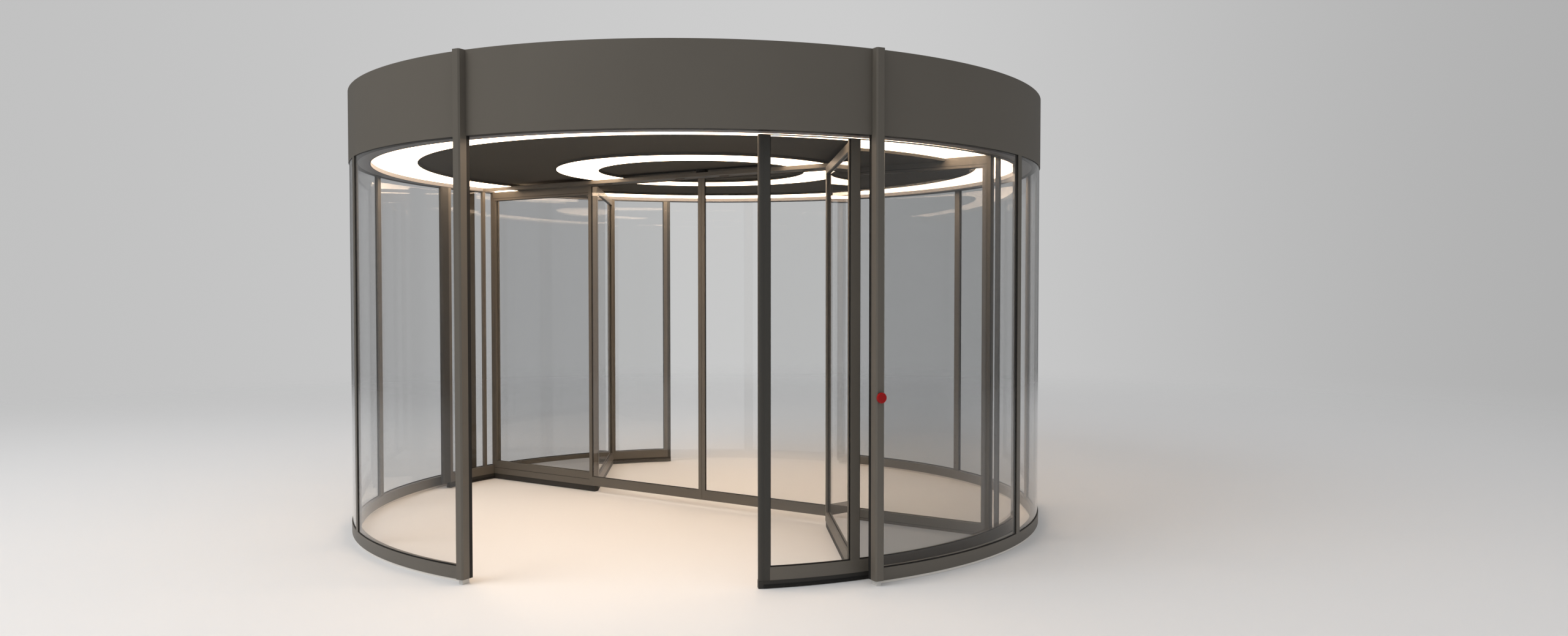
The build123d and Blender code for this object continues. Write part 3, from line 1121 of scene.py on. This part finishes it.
@dataclass
class ShowcaseGlowBars:
    """Glowing opal bars along the showcase roofs' front edges and on the headers beside them:
    painted light that fills a bright band there with no known lamp behind it, and on the headers
    hides the top beam's shaded face.
    """

    turns: dict[str, float]
    depth: float = 26 * MM
    overhang: float = 20 * MM
    end_gap: float = 2 * MM
    ring_gap: float = 3 * MM
    set_back: float = 0.5 * MM

    def build(self) -> None:
        """Builds both bars."""
        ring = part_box("outer_light_ring")[0][2]
        fitting = Fitting("rotor", "light_diffuser", smooth=False)
        for half, turn in self.turns.items():
            axes = Axes(turn)
            roof = points_of(f"{half}_showcase_roof")
            _, outer = radii_of(f"{half}_showcase_roof")
            edge = Span.around([p for p in roof if p.xy.length > outer - self.depth], turn)
            radius = outer + self.overhang - self.depth / 2
            height = ring - self.ring_gap - edge.high
            middle = edge.high + height / 2
            gap = self.end_gap / radius
            across = extent_of(f"{half}_showcase_roof", axes).high.y + self.depth / 2
            header_end = extent_of(f"{half}_panel_frame", axes).high.x
            ends = (radius - self.depth / 2, header_end - self.end_gap)
            paths = Paths([])
            paths.add(arc(radius, edge.start + gap, edge.end - gap, middle))
            paths.add([axes.world(along, across + self.set_back, middle) for along in ends])
            settings = {"Depth": self.depth, "Height": height}
            fitting.grow(f"{half}_showcase_glow", paths, flat_strip_tree(), **settings)


@dataclass
class RoofTrims:
    """The seam covers of the canopy's roof sheets and their screws."""

    seam_spacing: float = 800 * MM
    seam_width: float = 46 * MM
    seam_height: float = 3 * MM
    edge_gap: float = 40 * MM
    screw_spacing: float = 220 * MM
    screw_radius: float = 5.5 * MM
    screw_top_share: float = 0.7  # of the radius that is left at a screw head's top
    screw_height: float = 3 * MM
    screw_sides: int = 12
    screw_row: float = 15 * MM
    screw_end_gap: float = 30 * MM

    def build(self) -> None:
        """Builds the covers and the rows of screws."""
        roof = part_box("canopy_roof")[1][2]
        middle, top = roof + self.seam_height / 2, roof + self.seam_height
        _, radius = radii_of("canopy_roof")
        edge = radius - self.edge_gap
        covers, screws = Paths([]), Paths([])
        covers.add(full_circle(edge, middle), closed=True)
        screws.add(full_circle(edge, top), closed=True)
        inner = edge - self.seam_width / 2
        steps = int(inner / self.seam_spacing)
        for step in range(-steps, steps + 1):
            across = step * self.seam_spacing
            reach = math.sqrt(inner**2 - (abs(across) + self.seam_width / 2) ** 2)
            screwed = reach - self.screw_end_gap
            covers.add([Vector((x, across, middle)) for x in (-reach, reach)])
            for row in (-self.screw_row, self.screw_row):
                screws.add([Vector((x, across + row, top)) for x in (-screwed, screwed)])
        section = {"Depth": self.seam_width, "Height": self.seam_height}
        cover = Fitting("drum", "ceiling_metal", smooth=False, finish=Finishes.ROOF)
        cover.grow("roof_seam_covers", covers, flat_strip_tree(), **section)
        heads = {
            "Spacing": self.screw_spacing,
            "Top Radius": self.screw_radius * self.screw_top_share,
            "Bottom Radius": self.screw_radius,
            "Height": self.screw_height,
            "Sides": self.screw_sides,
        }
        screw = Fitting("drum", "bearing_steel", smooth=False)
        screw.grow("roof_screws", screws, standing_row_tree(), **heads)


# ---------------------------------------------------------------- studio


def grey(tone: float) -> tuple[float, float, float, float]:
    """A neutral tone with full alpha."""
    return rgba((tone, tone, tone))


@dataclass(frozen=True)
class KeyLamp:
    """A round area light that isn't seen itself."""

    place: Place = (-9.0, -7.0, 11.0)
    aim: Place = (-2.0, -2.0, 0.0)
    size: float = 11.0
    power: float = 1050.0

    def build(self) -> None:
        """Hangs the lamp."""
        light = bpy.data.lights.new("key", "AREA")
        light.shape = "DISK"
        light.size = self.size
        light.energy = self.power
        body = bpy.data.objects.new("key", light)
        bpy.context.scene.collection.objects.link(body)
        body.location = self.place
        toward = Vector(self.aim) - Vector(self.place)
        body.rotation_euler = toward.to_track_quat("-Z", "Y").to_euler()
        body.visible_camera = False
        body.visible_glossy = False
        body.visible_transmission = False


@dataclass(frozen=True)
class Surroundings:
    """A soft grey world that is seen in one set of tones and lights the door with another."""

    seen_tones: tuple[float, float, float] = (0.53, 0.61, 0.42)  # left, ahead, right
    side_light: tuple[float, float] = (0.58, 0.66)  # left, right
    sky_light: Colour = (0.625, 0.625, 0.63)
    side_reach: float = 0.7  # sideways part of a direction where the outer tones are reached
    rise: tuple[float, float] = (0.1, 0.9)  # upward part where the sky sets in and is full
    mirror_dimming: float = 0.75

    def seen(self, sheet: NodeSheet, across: bpy.types.NodeSocket) -> bpy.types.NodeSocket:
        """The tones that are seen, from left to right.

        Args:
            sheet: The world's nodes.
            across: The place from left to right, from 0 to 1.

        Returns:
            The colour's socket.
        """
        tones = sheet.add("ShaderNodeValToRGB", {0: across})
        ramp = tones.color_ramp
        ramp.interpolation = "EASE"
        left, ahead, right = self.seen_tones
        ramp.elements[0].color = grey(left)
        ramp.elements[1].color = grey(right)
        ramp.elements.new(0.5).color = grey(ahead)
        return tones.outputs["Color"]

    def build(self) -> None:
        """Makes the world."""
        world = bpy.data.worlds.new("studio")
        bpy.context.scene.world = world
        world.use_nodes = True
        world.node_tree.nodes.clear()
        sheet = NodeSheet(world.node_tree)
        output = sheet.add("ShaderNodeOutputWorld")
        direction = sheet.add("ShaderNodeTexCoord").outputs["Generated"]
        split = sheet.add("ShaderNodeSeparateXYZ", {0: direction})
        low, high = self.rise
        sideways = {"From Min": -self.side_reach, "From Max": self.side_reach}
        upward = {"From Min": low, "From Max": high}
        across, rise = (
            sheet.add("ShaderNodeMapRange", {"Value": split.outputs[axis], **reach}).outputs[0]
            for axis, reach in (("X", sideways), ("Z", upward))
        )
        side = sheet.blend(across, *(grey(tone) for tone in self.side_light))
        light = sheet.blend(rise, side, rgba(self.sky_light))
        path = sheet.add("ShaderNodeLightPath").outputs
        looked = sheet.math("MAXIMUM", path["Is Camera Ray"], path["Is Transmission Ray"])
        mirrored = sheet.math("MULTIPLY", path["Is Glossy Ray"], self.mirror_dimming)
        cast = sheet.blend(mirrored, light, rgba(BLACK))
        colour = sheet.blend(looked, cast, self.seen(sheet, across))
        back = sheet.add("ShaderNodeBackground", {"Color": colour, "Strength": 1.0})
        sheet.tree.links.new(back.outputs[0], output.inputs["Surface"])


@dataclass
class Studio:
    """The floor, the lights, the surroundings and the camera."""

    floor_radius: float = 60.0
    floor_sides: int = 96
    floor_drop: float = 0.5 * MM
    floor_colour: Colour = (0.8, 0.8, 0.8)
    floor_fade: tuple[float, float] = (4.5, 18.0)
    camera_place: Place = (0.6801, -8.0986, 1.5905)
    camera_heading: float = math.radians(90.722)
    camera_pitch: float = math.radians(-1.5745)
    lens: float = 25.469
    sensor: float = 36.0
    shift: tuple[float, float] = (0.00172, 0.00216)

    def floor(self) -> None:
        """Lays the floor disc."""
        shape = bmesh.new()
        bmesh.ops.create_circle(
            shape, cap_ends=True, radius=self.floor_radius, segments=self.floor_sides
        )
        mesh = bpy.data.meshes.new("studio_floor")
        shape.to_mesh(mesh)
        shape.free()
        disc = bpy.data.objects.new("studio_floor", mesh)
        bpy.context.scene.collection.objects.link(disc)
        mesh.transform(Matrix.Translation((0, 0, -self.floor_drop)))
        finish = StudioFloor("studio_floor_paint", self.floor_colour, *self.floor_fade)
        mesh.materials.append(material_of(finish))

    def camera(self) -> None:
        """Sets up the camera."""
        view = bpy.data.cameras.new("camera")
        view.lens = self.lens
        view.sensor_width = self.sensor
        view.shift_x, view.shift_y = self.shift
        body = bpy.data.objects.new("camera", view)
        bpy.context.scene.collection.objects.link(body)
        body.location = self.camera_place
        turn = self.camera_heading - math.pi / 2
        body.rotation_euler = (math.pi / 2 + self.camera_pitch, 0.0, turn)
        bpy.context.scene.camera = body

    def build(self) -> None:
        """Builds the studio."""
        self.floor()
        Surroundings().build()
        KeyLamp().build()
        self.camera()
        bpy.context.scene.view_settings.view_transform = "Standard"


def main() -> None:
    """Dresses the door and builds its details and the studio."""
    logging.basicConfig(level=logging.INFO, format="%(message)s")
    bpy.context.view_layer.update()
    record = frame["record"]
    slots = {part["node"]: part["material_slot"] for part in record["subparts"]}
    bodies = {node: body for body, nodes in record["behaviour"]["bodies"].items() for node in nodes}
    slides = {j["child"]: j["axis"] for j in record["behaviour"]["joints"] if j["type"] == "slide"}
    # each leaf slides along its half's fixed panel, so its axis is that half's heading
    turns = {body.split("_")[0]: math.atan2(axis[1], axis[0]) for body, axis in slides.items()}
    CadDress(slots).build()
    GlazingBeads(bodies).build()
    MullionGasketShades().build()
    SoffitShadeBands().build()
    PanelTrims(turns).build()
    EndCovers(turns).build()
    FloorBrushes(turns).build()
    ShowcaseGlowBars(turns).build()
    RoofTrims().build()
    Studio().build()


if __name__ == "__main__":
    main()
